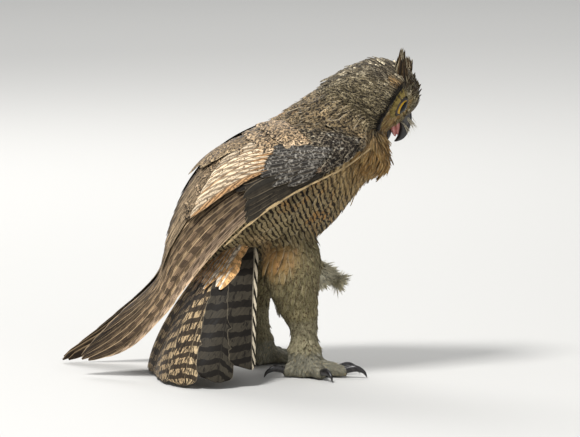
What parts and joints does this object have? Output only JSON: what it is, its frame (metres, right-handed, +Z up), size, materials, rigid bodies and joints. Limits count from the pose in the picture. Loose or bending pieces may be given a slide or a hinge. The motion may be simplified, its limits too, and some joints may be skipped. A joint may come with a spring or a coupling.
{
  "type": "great horned owl",
  "caption": "Great horned owl standing on the ground, leaning forward with drooped wings, spread barred tail, raised ear tufts and open bill.",
  "frame": {"origin": "on the floor, under the middle of the bird's bounding box", "axes": "+X the way the bird faces, +Y its left side, +Z up"},
  "size_m": [0.3629, 0.2294, 0.329],
  "materials": {
    "barred_plumage": "soft barred breast and belly feathers",
    "mottled_plumage": "mottled brown back, neck and wing feathers",
    "head_plumage": "fine grey-brown head feathers",
    "flight_feathers": "barred brown flight and tail feathers",
    "leg_down": "buff leg feathers",
    "foot_down": "cream foot feathers",
    "bill_horn": "black horn",
    "claw_horn": "black horn",
    "eye": "yellow iris, black pupil, wet",
    "tongue": "moist pink"
  },
  "bodies": {
    "root": {"rump": "barred_plumage", "trunk": "barred_plumage", "neck": "mottled_plumage", "head": "head_plumage", "bill_upper": "bill_horn", "bill_lower": "bill_horn", "tongue": "tongue", "tail_fan": "flight_feathers", "ear_tuft_right": "head_plumage", "eye_right": "eye", "thigh_right": "leg_down", "shank_right": "leg_down", "foot_right": "foot_down", "wing_right": "mottled_plumage", "scapulars_right": "mottled_plumage", "secondaries_right": "flight_feathers", "primaries_right": "flight_feathers", "claw_right_inner": "claw_horn", "claw_right_middle": "claw_horn", "claw_right_outer": "claw_horn", "claw_right_hind": "claw_horn", "ear_tuft_left": "head_plumage", "eye_left": "eye", "thigh_left": "leg_down", "shank_left": "leg_down", "foot_left": "foot_down", "wing_left": "mottled_plumage", "scapulars_left": "mottled_plumage", "secondaries_left": "flight_feathers", "primaries_left": "flight_feathers", "claw_left_inner": "claw_horn", "claw_left_middle": "claw_horn", "claw_left_outer": "claw_horn", "claw_left_hind": "claw_horn"}
  },
  "joints": []
}
